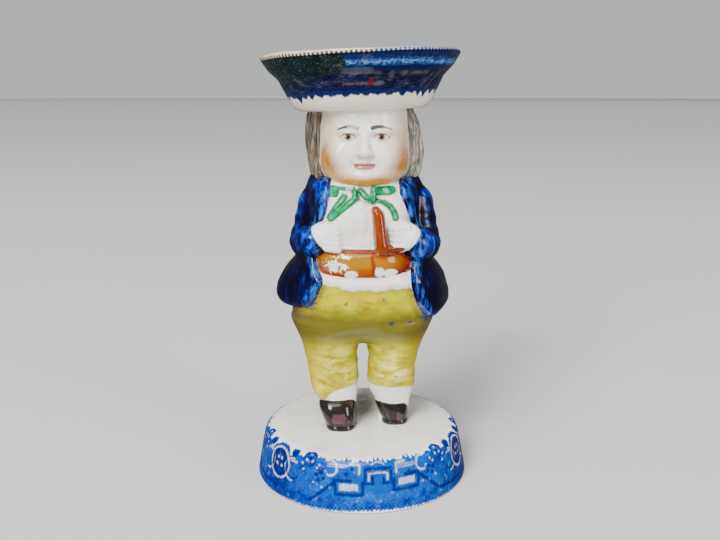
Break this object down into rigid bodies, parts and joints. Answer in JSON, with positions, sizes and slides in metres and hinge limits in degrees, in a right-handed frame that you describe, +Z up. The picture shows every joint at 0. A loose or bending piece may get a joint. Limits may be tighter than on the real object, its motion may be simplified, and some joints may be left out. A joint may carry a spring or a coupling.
{
  "type": "toby salt cellar",
  "caption": "Standing glazed earthenware figure in a blue coat and yellow breeches whose hat is an open salt bowl, on a hollow round base",
  "frame": {"origin": "middle of the base's foot ring, on the plane that the base stands on", "axes": "+Z up the figure to the open bowl; -Y is the way the figure faces; +X is to the viewer's right"},
  "size_m": [0.0694, 0.0694, 0.136],
  "materials": {
    "glazed_earthenware": "gloss"
  },
  "bodies": {
    "root": {"toby_salt_cellar": "glazed_earthenware"}
  },
  "joints": []
}
